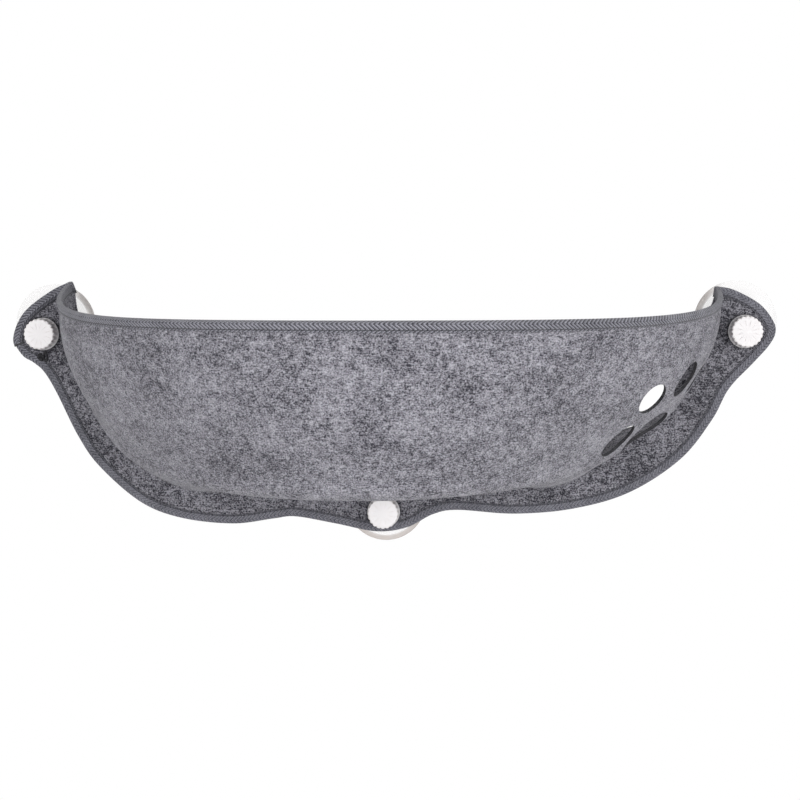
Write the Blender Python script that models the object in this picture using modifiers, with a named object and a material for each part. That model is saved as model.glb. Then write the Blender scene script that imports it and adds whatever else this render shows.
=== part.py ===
"""Cat window bed: a bound felt hammock that hangs on a window pane from three suction cups.

Units are metres and +Z is up. The window glass is the plane y = 0 and the bed stands out toward -Y.
The origin lies on the glass, midway between the studs of the two upper cups.
"""
import math

import bmesh
import bpy
from mathutils import Matrix, Vector

# Clearances and overruns that several pieces share
GAP = 0.0003                 # free space between two pieces that touch
CUT_OVERRUN = 0.012          # how far a cutter passes the wall it cuts

# Felt sheet: one moulded piece with a flat flange and a boat-shaped pouch
FELT = 0.0028                # thickness of the felt
STAND_OFF = 0.029            # glass to the middle of the felt flange
HALF_WIDTH = 0.340           # centre line to the outermost edge of an ear
EDGE_DROP = 0.179            # upper studs down to the lowest edge of the flange
RIM_DEPTH = 0.250            # flange to the middle of the front rim
RIM_HEIGHT = 0.0125          # front rim above the upper studs
CREASE_DEPTH = 0.190         # flange to the front lower crease
CREASE_DROP = 0.1255         # upper studs down to the front lower crease
CREASE_LEAN = 0.023          # how far the pouch's lower front hangs toward the left
WALL_BULGE = 0.009           # outward belly of the pouch wall between crease and rim
FLOOR_SAG = 0.002            # downward belly of the pouch floor
FOLD_RADIUS = 0.007          # bend between flange and pouch
CREASE_RADIUS = 0.014        # bend between pouch floor and wall
RIM_ROUNDNESS = 2.04         # exponent of the rim's plan curve, 2 is an ellipse
RIM_TIP_RISE = 2.2           # exponent of the rim's climb toward the tips
CREASE_TIP_RISE = 3.0        # exponent of the crease's climb toward the tips
CREASE_FULLNESS = 2.8        # exponent of the crease's plan curve
COLUMNS = 64                 # facets of the sheet from tip to tip
TIP_DENSITY = 0.35           # how much closer the columns stand at the tips
SPLINE_STEPS = 12            # samples between two points of an outline

# Outer edge of the bound flange from the left tip, round the bottom, to the right tip,
# in shares of HALF_WIDTH and EDGE_DROP
EDGE_SHARES = [
    (-0.850, 0.251), (-0.900, 0.201), (-0.971, 0.095), (-1.000, -0.034), (-0.979, -0.117),
    (-0.950, -0.152), (-0.921, -0.201), (-0.888, -0.307), (-0.832, -0.525), (-0.774, -0.682),
    (-0.665, -0.860), (-0.556, -0.939), (-0.418, -0.966), (-0.309, -0.939), (-0.250, -0.927),
    (-0.144, -0.961), (-0.035, -1.000), (0.047, -0.978), (0.115, -0.911), (0.180, -0.888),
    (0.330, -0.905), (0.485, -0.877), (0.631, -0.793), (0.762, -0.626), (0.842, -0.430),
    (0.885, -0.274), (0.947, -0.145), (0.997, -0.028), (1.003, 0.022), (0.959, 0.145),
    (0.894, 0.212), (0.850, 0.229),
]

# Fold between flange and pouch, in the same shares
FOLD_SHARES = [
    (-0.840, 0.198), (-0.829, 0.098), (-0.770, -0.239), (-0.701, -0.538), (-0.644, -0.682),
    (-0.593, -0.749), (-0.528, -0.788), (-0.455, -0.799), (-0.386, -0.783), (-0.148, -0.731),
    (0.088, -0.722), (0.253, -0.738), (0.379, -0.764), (0.448, -0.752), (0.510, -0.690),
    (0.552, -0.560), (0.602, -0.490), (0.660, -0.450), (0.712, -0.385), (0.743, -0.270),
    (0.770, -0.140), (0.803, 0.010), (0.847, 0.178),
]

# Rows of a section between its bends, in shares of each straight run
FLANGE_ROW_SHARES = (0.0, 0.5)
FLOOR_ROW_SHARES = (0.33, 0.67)
WALL_ROW_SHARES = (0.2, 0.4, 0.6, 0.8)
BEND_LIMIT_SHARE = 0.4       # most of a straight run that one bend may take
FOLD_STEPS = 2               # facets round the bend at the fold
CREASE_STEPS = 3             # facets round the bend at the crease

# Edge binding: one woven tape folded over the sheet's whole edge
TAPE = 0.0008                # thickness of the tape
BINDING_WIDTH = 0.0082       # how far the tape reaches in from the edge
WRAP_SHARE = 0.85            # squareness of the tape where it turns round the edge

# Paw-print window in the pouch wall: places are shares of the way along the sheet and up the wall,
# turns are in degrees from the wall's upward direction
TOE_LENGTH = 0.036
TOE_WIDTH = 0.026
PAD_LENGTH = 0.053
PAD_WIDTH = 0.036
PAD_LOBE_SHARE = 0.10        # how far the pad's three lobes stand out of its ellipse
TOE_PLACE_SHARES = [(0.757, 0.085, -35.0), (0.785, 0.421, 26.0), (0.837, 0.443, -10.0), (0.884, -0.08, 10.0)]
PAD_PLACE_SHARE = (0.813, -0.10, -38.0)
HOLE_POINTS = 22

# Places of the three fasteners on the flange
EAR_MARGIN = 0.0263          # ear's outer edge to the stud
TAB_MARGIN = 0.0182          # lower tab's edge to the stud
TAB_SHIFT = 0.005            # lower stud to the left of the centre line
UPPER_TILT = 0.0014          # right stud above the origin, left stud as far below

# Suction cup: a turned bell of soft clear vinyl with a boss for the stud
CUP_RADIUS = 0.037
CUP_LIP = 0.006              # width of the flat lip that lies on the glass
CUP_LIP_EDGE = 0.0012        # thickness of the lip's outer edge
CUP_CHAMBER = 0.0052         # height of the suction chamber
CUP_SHOULDER = 0.0125        # glass to the shoulder where the bell meets its neck
CUP_NECK_RADIUS = 0.0105
BOSS_RADIUS = 0.0125
BOSS_HEIGHT = 0.0075         # length of the boss in front of the neck
UPPER_DROOP = 0.0085         # how far a loaded upper boss hangs below its bell
LOWER_DROOP = 0.0063
UPPER_SPREAD = 0.003         # how far a loaded upper boss is drawn outward
CUP_SEGMENTS = 40

# Stud: a moulded screw whose root sits in the boss and whose collar backs the felt
STUD_RADIUS = 0.004
STUD_ROOT_RADIUS = 0.006
STUD_ROOT_LENGTH = 0.007
COLLAR_RADIUS = 0.0115
COLLAR = 0.0015
STUD_CHAMFER = 0.0008
STUD_SEGMENTS = 24

# Clamp washer and scalloped knob
WASHER_RADIUS = 0.0146
WASHER = 0.0022
WASHER_BEVEL = 0.0006
WASHER_SEGMENTS = 40
KNOB_RADIUS = 0.0142
KNOB_HEIGHT = 0.0112
KNOB_EDGE = 0.0016           # rounding of the knob's front edge
KNOB_CHAMFER = 0.0005
KNOB_DOME = 0.0005           # height of the domed face above its edge
KNOB_ROOF = 0.0030           # plastic between the bore's end and the face
SCALLOPS = 20
SCALLOP_DEPTH = 0.0009
PETAL_DEPTH = 0.0004         # depth of the radial petals pressed into the face
PETAL_RING_SHARE = 0.55      # where on the face the petals are widest
POINTS_PER_SCALLOP = 3
THREAD_ENGAGED = 0.0078      # length of stud inside the knob


def clear_scene():
    for old in list(bpy.data.objects):
        bpy.data.objects.remove(old)


def collection(name):
    group = bpy.data.collections.new(name)
    bpy.context.scene.collection.children.link(group)
    return group


def material(name, colour, roughness, alpha=1.0):
    finish = bpy.data.materials.new(name)
    finish.use_nodes = True
    shader = finish.node_tree.nodes["Principled BSDF"]
    shader.inputs["Base Color"].default_value = (*colour, 1.0)
    shader.inputs["Roughness"].default_value = roughness
    shader.inputs["Metallic"].default_value = 0.0
    shader.inputs["Alpha"].default_value = alpha
    return finish


def add_object(name, mesh, group, finish=None):
    piece = bpy.data.objects.new(name, mesh)
    group.objects.link(piece)
    if finish:
        mesh.materials.append(finish)
    return piece


def shade(piece, angle=40.0):
    piece.data.shade_smooth()
    piece.data.set_sharp_from_angle(angle=math.radians(angle))


# Curves of the sheet
def through(points):
    """A smooth curve through the points, as a close row of samples."""
    row = [points[0] * 2 - points[1], *points, points[-1] * 2 - points[-2]]
    samples = []
    for before, start, end, after in zip(row, row[1:], row[2:], row[3:]):
        for step in range(SPLINE_STEPS):
            s = step / SPLINE_STEPS
            samples.append(
                0.5 * (2 * start + (end - before) * s
                       + (2 * before - 5 * start + 4 * end - after) * s ** 2
                       + (3 * start - before - 3 * end + after) * s ** 3))
    samples.append(points[-1])
    return samples


def paced(samples):
    """A function that gives the point at a share of the samples' length."""
    reach = [0.0]
    for start, end in zip(samples, samples[1:]):
        reach.append(reach[-1] + (end - start).length)

    def at(share):
        goal = share * reach[-1]
        for index in range(1, len(samples)):
            if reach[index] >= goal or index == len(samples) - 1:
                run = reach[index] - reach[index - 1]
                part = (goal - reach[index - 1]) / run
                return samples[index - 1].lerp(samples[index], part)

    return at


def on_flange(x_share, z_share):
    return Vector((x_share * HALF_WIDTH, -STAND_OFF, z_share * EDGE_DROP))


def rim_samples(left_tip, right_tip):
    """The rim's plan is a superellipse on the two tips, and it climbs to them."""
    count = COLUMNS * SPLINE_STEPS
    samples = []
    for step in range(count + 1):
        turn = math.pi * step / count
        out = math.sin(turn) ** (2 / RIM_ROUNDNESS)
        along = 0.5 - 0.5 * math.copysign(abs(math.cos(turn)) ** (2 / RIM_ROUNDNESS), math.cos(turn))
        tip = left_tip.lerp(right_tip, along)
        climb = (1 - out) ** RIM_TIP_RISE
        height = RIM_HEIGHT + (tip.z - RIM_HEIGHT) * climb
        samples.append(Vector((tip.x, -STAND_OFF - RIM_DEPTH * out, height)))
    return samples


def crease_at(share, left_end, right_end):
    """The line where the pouch's floor turns up into its wall."""
    along = 0.5 - 0.5 * math.cos(math.pi * share)
    end = left_end.lerp(right_end, along)
    out = math.sin(math.pi * share) ** CREASE_FULLNESS
    drop = 1 - abs(1 - 2 * share) ** CREASE_TIP_RISE
    return Vector((
        end.x - CREASE_LEAN * drop ** 2,
        -STAND_OFF - CREASE_DEPTH * out,
        end.z - (end.z + CREASE_DROP) * drop))


def bend(corner, toward_start, toward_end, radius, steps):
    """Points of a rounded corner between two straight runs."""
    lead = min(radius, BEND_LIMIT_SHARE * (toward_start - corner).length)
    trail = min(radius, BEND_LIMIT_SHARE * (toward_end - corner).length)
    start = corner + (toward_start - corner).normalized() * lead
    end = corner + (toward_end - corner).normalized() * trail
    points = []
    for step in range(steps + 1):
        s = step / steps
        points.append(start.lerp(corner, s).lerp(corner.lerp(end, s), s))
    return points


class Sheet:
    """The middle surface of the felt, as one section for each share of the way from tip to tip."""

    def __init__(self):
        self.edge = paced(through([on_flange(x, z) for x, z in EDGE_SHARES]))
        self.fold = paced(through([on_flange(x, z) for x, z in FOLD_SHARES]))
        self.rim = paced(rim_samples(self.edge(0.0), self.edge(1.0)))

    def edge_inset(self, share, inset):
        """A point of the flange at a distance inside its outer edge."""
        step = 1 / (COLUMNS * SPLINE_STEPS)
        run = self.edge(min(share + step, 1.0)) - self.edge(max(share - step, 0.0))
        inward = Vector((-run.z, 0, run.x)).normalized()
        return self.edge(share) + inward * inset

    def crease(self, share):
        return crease_at(share, self.fold(0.0), self.fold(1.0))

    def rim_inset(self, share, inset):
        """A point of the wall at a distance below the rim."""
        rim = self.rim(share)
        return rim + (self.crease(share) - rim).normalized() * inset

    def section(self, share):
        """Points from the flange binding's inner edge to the rim binding's inner edge."""
        start = self.edge_inset(share, BINDING_WIDTH)
        fold = self.fold(share)
        crease = self.crease(share)
        end = self.rim_inset(share, BINDING_WIDTH)
        fold_bend = bend(fold, start, crease, FOLD_RADIUS, FOLD_STEPS)
        crease_bend = bend(crease, fold, end, CREASE_RADIUS, CREASE_STEPS)
        points = [start.lerp(fold_bend[0], s) for s in FLANGE_ROW_SHARES] + fold_bend
        run = crease_bend[0] - fold_bend[-1]
        limit = min(1.0, run.length / CREASE_DEPTH)
        for s in FLOOR_ROW_SHARES:
            sag = Vector((0, 0, -FLOOR_SAG * limit * math.sin(math.pi * s)))
            points.append(fold_bend[-1] + run * s + sag)
        points += crease_bend
        run = end - crease_bend[-1]
        outward = self.outward(share, run)
        limit = min(1.0, run.length / CREASE_DROP)
        for s in WALL_ROW_SHARES:
            belly = outward * WALL_BULGE * limit * math.sin(math.pi * s)
            points.append(crease_bend[-1] + run * s + belly)
        points.append(end)
        return points

    def outward(self, share, up_wall):
        """The direction square to the wall, away from the pouch."""
        step = 1 / COLUMNS
        along = self.rim(min(share + step, 1.0)) - self.rim(max(share - step, 0.0))
        return along.cross(up_wall).normalized()

    def on_wall(self, share, height_share):
        """A point of the wall at a share of its height, with the up-wall and outward directions."""
        wall = self.section(share)[-len(WALL_ROW_SHARES) - 2:]
        place = height_share * (len(wall) - 1)
        index = min(int(place), len(wall) - 2)
        point = wall[index].lerp(wall[index + 1], place - index)
        up_wall = (wall[index + 1] - wall[index]).normalized()
        return point, up_wall, self.outward(share, up_wall)


def column_shares():
    """Shares of the way from tip to tip, closer together near the tips."""
    shares = []
    for column in range(COLUMNS + 1):
        even = column / COLUMNS
        shares.append(even - TIP_DENSITY * math.sin(2 * math.pi * even) / (2 * math.pi))
    return shares


def sheet_mesh(sheet):
    """The felt's middle surface with its outer ring, and that ring's outer and inner vertices."""
    bm = bmesh.new()
    shares = column_shares()
    edge_inset = TAPE + GAP
    left_end = bm.verts.new(sheet.fold(0.0))
    right_end = bm.verts.new(sheet.fold(1.0))
    middle = [[bm.verts.new(p) for p in sheet.section(s)] for s in shares[1:-1]]
    rows = len(middle[0])
    columns = [[left_end] * rows, *middle, [right_end] * rows]
    for left, right in zip(columns, columns[1:]):
        for row in range(rows - 1):
            corners = [left[row], left[row + 1], right[row + 1], right[row]]
            bm.faces.new(list(dict.fromkeys(corners)))
    tips = []
    for end, share in ((left_end, 0.0), (right_end, 1.0)):
        tip = sheet.edge(share)
        tips.append(bm.verts.new(tip + (end.co - tip).normalized() * edge_inset))
    outer = [tips[0]]
    inner = [left_end]
    for share, column in zip(shares[1:-1], middle):
        outer.append(bm.verts.new(sheet.edge_inset(share, edge_inset)))
        inner.append(column[0])
    outer.append(tips[1])
    inner.append(right_end)
    for share, column in zip(reversed(shares[1:-1]), reversed(middle)):
        outer.append(bm.verts.new(sheet.rim_inset(share, edge_inset)))
        inner.append(column[-1])
    ring = []
    for index in range(len(outer)):
        after = (index + 1) % len(outer)
        ring.append(bm.faces.new((outer[index], inner[index], inner[after], outer[after])))
    bmesh.ops.triangulate(bm, faces=ring, quad_method="FIXED")
    bm.normal_update()
    return bm, outer, inner


def felt_body(sheet, group, cutters, finish):
    bm, _, _ = sheet_mesh(sheet)
    mesh = bpy.data.meshes.new("felt_body")
    bm.to_mesh(mesh)
    bm.free()
    felt = add_object("felt_body", mesh, group, finish)
    wall = felt.modifiers.new("felt thickness", "SOLIDIFY")
    wall.thickness = FELT
    wall.offset = 0.0
    for cutter in paw_cutters(sheet, cutters) + stud_hole_cutters(cutters):
        cut = felt.modifiers.new(cutter.name, "BOOLEAN")
        cut.operation = "DIFFERENCE"
        cut.solver = "MANIFOLD"
        cut.object = cutter
    shade(felt)
    return felt


def edge_binding(sheet, group, finish):
    """The tape's middle surface follows both faces of the sheet's outer ring and turns round its edge.

    Its faces are split along the same diagonals as the ring's, so tape and felt stay parallel where
    the ring is twisted.
    """
    sheet_bm, outer, inner = sheet_mesh(sheet)
    bm = bmesh.new()
    lift = FELT / 2 + GAP + TAPE / 2
    turn = GAP + TAPE / 2
    loops = []
    for edge, inside in zip(outer, inner):
        away = (edge.co - inside.co).normalized()
        corner = edge.normal * lift * WRAP_SHARE
        path = [
            inside.co + inside.normal * lift,
            edge.co + edge.normal * lift,
            edge.co + corner + away * turn,
            edge.co - corner + away * turn,
            edge.co - edge.normal * lift,
            inside.co - inside.normal * lift,
        ]
        loops.append([bm.verts.new(point) for point in path])
    for index, loop in enumerate(loops):
        after = loops[(index + 1) % len(loops)]
        bm.faces.new((after[0], loop[0], loop[1], after[1]))
        for row in range(1, len(loop) - 1):
            bm.faces.new((loop[row], loop[row + 1], after[row + 1], after[row]))
    bmesh.ops.triangulate(bm, faces=bm.faces, quad_method="FIXED")
    sheet_bm.free()
    bm.normal_update()
    mesh = bpy.data.meshes.new("edge_binding")
    bm.to_mesh(mesh)
    bm.free()
    binding = add_object("edge_binding", mesh, group, finish)
    wall = binding.modifiers.new("tape thickness", "SOLIDIFY")
    wall.thickness = TAPE
    wall.offset = 0.0
    shade(binding)
    return binding


# Cutters
def prism(name, outline, place, group):
    """A cutter: an outline in its own X and Y, drawn out along Z to both sides of its place."""
    bm = bmesh.new()
    face = bm.faces.new([bm.verts.new((x, y, -CUT_OVERRUN)) for x, y in outline])
    drawn = bmesh.ops.extrude_face_region(bm, geom=[face])
    raised = [item for item in drawn["geom"] if isinstance(item, bmesh.types.BMVert)]
    bmesh.ops.translate(bm, verts=raised, vec=(0, 0, 2 * CUT_OVERRUN))
    bmesh.ops.recalc_face_normals(bm, faces=bm.faces)
    mesh = bpy.data.meshes.new(name)
    bm.to_mesh(mesh)
    bm.free()
    cutter = add_object(name, mesh, group)
    cutter.matrix_world = place
    cutter.hide_render = True
    cutter.display_type = "WIRE"
    return cutter


def oval(width, length, lobe_share=0.0):
    """An ellipse, or with a lobe share a three-lobed pad, longer along Y."""
    outline = []
    for step in range(HOLE_POINTS):
        turn = 2 * math.pi * step / HOLE_POINTS
        swell = 1 - lobe_share * math.sin(3 * turn)
        outline.append((width / 2 * math.cos(turn) * swell, length / 2 * math.sin(turn) * swell))
    return outline


def paw_cutters(sheet, group):
    toe = oval(TOE_WIDTH, TOE_LENGTH)
    pad = oval(PAD_WIDTH, PAD_LENGTH, PAD_LOBE_SHARE)
    holes = [(f"cut_toe_{n + 1}", toe, place) for n, place in enumerate(TOE_PLACE_SHARES)]
    holes.append(("cut_pad", pad, PAD_PLACE_SHARE))
    cutters = []
    for name, outline, (share, height_share, turn) in holes:
        point, up_wall, outward = sheet.on_wall(share, height_share)
        across = up_wall.cross(outward)
        place = Matrix((across, up_wall, outward)).transposed().to_4x4()
        place = Matrix.Translation(point) @ place @ Matrix.Rotation(math.radians(turn), 4, "Z")
        cutters.append(prism(name, outline, place, group))
    return cutters


def stud_hole_cutters(group):
    hole = 2 * (STUD_RADIUS + GAP)
    cutters = []
    for fastener in FASTENERS:
        place = Matrix.Translation((fastener.x, -STAND_OFF, fastener.z)) @ FORWARD
        cutters.append(prism("cut_stud_" + fastener.side, oval(hole, hole), place, group))
    return cutters


# Fasteners
FORWARD = Matrix.Rotation(math.radians(90), 4, "X")


class Fastener:
    """One suction cup with its stud, washer and knob; heights are distances from the glass."""

    def __init__(self, side, x, z, droop, spread, on_binding):
        self.side = side
        self.x = x
        self.z = z
        self.droop = droop
        self.spread = spread
        clamped = FELT / 2 + GAP
        if on_binding:
            clamped += TAPE + GAP
        self.collar_back = STAND_OFF - clamped - COLLAR
        self.boss_front = self.collar_back - GAP
        self.washer_back = STAND_OFF + clamped
        self.knob_back = self.washer_back + WASHER + GAP
        self.bore_end = self.knob_back + KNOB_HEIGHT - KNOB_ROOF
        self.stud_front = self.knob_back + THREAD_ENGAGED


FASTENERS = [
    Fastener("left", -(HALF_WIDTH - EAR_MARGIN), -UPPER_TILT, UPPER_DROOP, UPPER_SPREAD, False),
    Fastener("right", HALF_WIDTH - EAR_MARGIN, UPPER_TILT, UPPER_DROOP, -UPPER_SPREAD, False),
    Fastener("lower", -TAB_SHIFT, TAB_MARGIN - EDGE_DROP, LOWER_DROOP, 0.0, True),
]


def turned(name, profile, segments, group, finish, closed=False):
    """A profile of (radius, height) pairs turned about its own Z axis."""
    mesh = bpy.data.meshes.new(name)
    edges = [(n, n + 1) for n in range(len(profile) - 1)]
    if closed:
        edges.append((len(profile) - 1, 0))
    mesh.from_pydata([(r, 0, h) for r, h in profile], edges, [])
    piece = add_object(name, mesh, group, finish)
    screw = piece.modifiers.new("turning", "SCREW")
    screw.steps = segments
    screw.render_steps = segments
    screw.use_merge_vertices = True
    screw.merge_threshold = GAP / 10
    settled = bpy.data.meshes.new_from_object(piece.evaluated_get(bpy.context.evaluated_depsgraph_get()))
    piece.modifiers.clear()
    piece.data = settled
    shade(piece)
    return piece


def stand(piece, fastener, height=0.0):
    """Puts a piece that was made along +Z on its stud's axis, facing away from the glass."""
    piece.matrix_world = Matrix.Translation((fastener.x, -height, fastener.z)) @ FORWARD


def suction_cup(fastener, group, finish):
    pocket = fastener.boss_front - STUD_ROOT_LENGTH - GAP
    pocket_radius = STUD_ROOT_RADIUS + GAP
    front = fastener.boss_front
    boss_back = front - BOSS_HEIGHT
    bell = CUP_RADIUS - CUP_LIP
    profile = [
        (0, pocket), (pocket_radius, pocket), (pocket_radius, front), (BOSS_RADIUS - GAP, front),
        (BOSS_RADIUS, front - GAP), (BOSS_RADIUS, boss_back), (CUP_NECK_RADIUS, boss_back - GAP),
        (CUP_NECK_RADIUS, CUP_SHOULDER),
    ]
    flare = CUP_RADIUS - CUP_NECK_RADIUS
    fall = CUP_SHOULDER - CUP_LIP_EDGE
    for share in (0.18, 0.42, 0.68, 1.0):
        profile.append((CUP_NECK_RADIUS + flare * share, CUP_LIP_EDGE + fall * (1 - share) ** 1.6))
    profile += [(CUP_RADIUS, 0), (bell, 0)]
    for share in (0.7, 0.35):
        profile.append((bell * share, CUP_CHAMBER * (1 - share ** 2)))
    profile.append((0, CUP_CHAMBER))
    cup = turned("suction_cup_" + fastener.side, profile, CUP_SEGMENTS, group, finish)
    for vertex in cup.data.vertices:
        soft = 1 - min(vertex.co.z / boss_back, 1.0)
        vertex.co.x += fastener.spread * soft ** 0.5
        vertex.co.y += fastener.droop * soft ** 0.5
    stand(cup, fastener)
    return cup


def stud(fastener, group, finish):
    back = fastener.collar_back
    front = fastener.stud_front
    profile = [
        (0, front), (STUD_RADIUS - STUD_CHAMFER, front), (STUD_RADIUS, front - STUD_CHAMFER),
        (STUD_RADIUS, back + COLLAR), (COLLAR_RADIUS, back + COLLAR), (COLLAR_RADIUS, back),
        (STUD_ROOT_RADIUS, back), (STUD_ROOT_RADIUS, back - STUD_ROOT_LENGTH), (0, back - STUD_ROOT_LENGTH),
    ]
    screw = turned("stud_" + fastener.side, profile, STUD_SEGMENTS, group, finish)
    stand(screw, fastener)
    return screw


def washer(fastener, group, finish):
    bore = STUD_RADIUS + GAP
    profile = [
        (bore, WASHER), (WASHER_RADIUS - WASHER_BEVEL, WASHER), (WASHER_RADIUS, WASHER - WASHER_BEVEL),
        (WASHER_RADIUS, 0), (bore, 0),
    ]
    ring = turned("clamp_washer_" + fastener.side, profile, WASHER_SEGMENTS, group, finish, closed=True)
    stand(ring, fastener, fastener.washer_back)
    return ring


def knob(fastener, group, finish):
    """A thumb nut: its bore is round, its grip has scallops and its face has shallow petals."""
    bm = bmesh.new()
    bore = STUD_RADIUS + GAP
    bore_end = fastener.bore_end - fastener.knob_back
    face = KNOB_HEIGHT
    rings = [
        (bore, bore_end, 0, 0), (bore, 0, 0, 0), (KNOB_RADIUS - KNOB_CHAMFER, 0, SCALLOP_DEPTH, 0),
        (KNOB_RADIUS, KNOB_CHAMFER, SCALLOP_DEPTH, 0), (KNOB_RADIUS, face - KNOB_EDGE, SCALLOP_DEPTH, 0),
        (KNOB_RADIUS - KNOB_EDGE / 4, face - KNOB_EDGE / 4, SCALLOP_DEPTH, 0),
        (KNOB_RADIUS - KNOB_EDGE, face, SCALLOP_DEPTH, PETAL_DEPTH / 2),
        (KNOB_RADIUS * PETAL_RING_SHARE, face + KNOB_DOME / 2, 0, PETAL_DEPTH),
    ]
    count = SCALLOPS * POINTS_PER_SCALLOP
    loops = []
    for radius, height, scallop, petal in rings:
        loop = []
        for step in range(count):
            turn = 2 * math.pi * step / count
            valley = 1 - abs(math.cos(turn * SCALLOPS / 2))
            r = radius - scallop * valley
            loop.append(bm.verts.new((r * math.cos(turn), r * math.sin(turn), height - petal * valley)))
        loops.append(loop)
    bore_middle = bm.verts.new((0, 0, bore_end))
    face_middle = bm.verts.new((0, 0, face + KNOB_DOME))
    for step in range(count):
        after = (step + 1) % count
        bm.faces.new((bore_middle, loops[0][step], loops[0][after]))
        bm.faces.new((face_middle, loops[-1][step], loops[-1][after]))
        for low, high in zip(loops, loops[1:]):
            bm.faces.new((low[step], low[after], high[after], high[step]))
    bmesh.ops.recalc_face_normals(bm, faces=bm.faces)
    mesh = bpy.data.meshes.new("knob_" + fastener.side)
    bm.to_mesh(mesh)
    bm.free()
    nut = add_object("knob_" + fastener.side, mesh, group, finish)
    shade(nut, 30.0)
    stand(nut, fastener, fastener.knob_back)
    return nut


def build():
    clear_scene()
    parts = collection("cat_window_bed")
    cutters = collection("cutters")
    felt = material("grey felt", (0.25, 0.25, 0.28), 0.95)
    tape = material("grey woven tape", (0.13, 0.13, 0.155), 0.85)
    vinyl = material("clear vinyl", (0.86, 0.84, 0.82), 0.25, 0.6)
    plastic = material("white plastic", (0.90, 0.88, 0.89), 0.35)
    sheet = Sheet()
    felt_body(sheet, parts, cutters, felt)
    edge_binding(sheet, parts, tape)
    for fastener in FASTENERS:
        suction_cup(fastener, parts, vinyl)
        stud(fastener, parts, plastic)
        washer(fastener, parts, plastic)
        knob(fastener, parts, plastic)


build()
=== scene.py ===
"""Cat window bed: the looks of the felt hammock, its tape and its three fasteners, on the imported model.

Units are metres and +Z is up. The window glass is the plane y = 0 and the bed stands out toward -Y.
"""
import bisect
import math

import bmesh
import bpy
from mathutils import Matrix, Vector, noise


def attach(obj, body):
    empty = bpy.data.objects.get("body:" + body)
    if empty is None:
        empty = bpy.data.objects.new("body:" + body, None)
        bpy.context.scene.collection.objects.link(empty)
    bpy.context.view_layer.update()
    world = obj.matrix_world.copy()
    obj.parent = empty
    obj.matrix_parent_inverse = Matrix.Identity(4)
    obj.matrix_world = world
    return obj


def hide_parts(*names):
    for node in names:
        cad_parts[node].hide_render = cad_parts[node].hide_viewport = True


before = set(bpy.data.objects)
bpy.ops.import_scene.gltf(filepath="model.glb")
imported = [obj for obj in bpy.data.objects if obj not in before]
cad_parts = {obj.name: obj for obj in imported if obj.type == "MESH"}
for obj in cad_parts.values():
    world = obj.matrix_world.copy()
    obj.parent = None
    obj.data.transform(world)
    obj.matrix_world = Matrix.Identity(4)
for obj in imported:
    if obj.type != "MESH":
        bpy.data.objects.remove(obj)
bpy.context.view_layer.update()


# Studio
# The bed is photographed from the room, a little to the left and above, in front of plain white.
# A pale floor lies well below it and turns white with distance. Three wide lamps stand in the room.
CAMERA_PLACE = (0.0750, -1.279, 0.0229)
CAMERA_TURN = (90 - 3.803, 0, 3)
LENS = 62.955
SENSOR_WIDTH = 36.0
FLOOR_DROP = 0.9
FLOOR_SIZE = 6.0
FLOOR_COLOUR = (0.83, 0.83, 0.83)
FLOOR_LIFT = 0.25
FLOOR_FADE = (0.5, 1.25)
ROOM_LEVEL = 0.32
LAMP_AIM = (0, -0.12, -0.03)
BLACK = (0.0, 0.0, 0.0)
WHITE = (1.0, 1.0, 1.0)
GRAIN_MIDDLE = 0.5
TURNED_ANGLE = 40.0
EDGED_ANGLE = 35.0
# name, place, width, height, watts
LAMPS = [
    ("lamp_left", (-1.45, -1.75, 0.05), 1.0, 1.6, 17.5),
    ("lamp_right", (1.75, -1.45, 0.15), 1.0, 1.6, 27.0),
    ("lamp_front", (0.1, -2.4, -0.20), 1.8, 1.2, 24.0),
]


class Level:
    """A number that varies over a surface; arithmetic on it adds the nodes for it."""

    def __init__(self, finish, socket):
        self.finish = finish
        self.socket = socket

    def sum(self, operation, first, second=0.0):
        return self.finish.add("ShaderNodeMath", {"operation": operation}, {0: first, 1: second})

    def __add__(self, other):
        return self.sum("ADD", self, other)

    __radd__ = __add__

    def __mul__(self, other):
        return self.sum("MULTIPLY", self, other)

    __rmul__ = __mul__

    def __sub__(self, other):
        return self.sum("SUBTRACT", self, other)

    def __rsub__(self, other):
        return self.sum("SUBTRACT", other, self)

    def __abs__(self):
        return self.sum("ABSOLUTE", self)

    def highest(self, other):
        return self.sum("MAXIMUM", self, other)

    def lowest(self, other):
        return self.sum("MINIMUM", self, other)

    def sine(self):
        return self.sum("SINE", self)

    def between(self, low, high):
        """0 below the low value, 1 above the high one, and smooth between them."""
        return self.finish.add(
            "ShaderNodeMapRange", {"interpolation_type": "SMOOTHSTEP"},
            {"Value": self, "From Min": low, "From Max": high})


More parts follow.
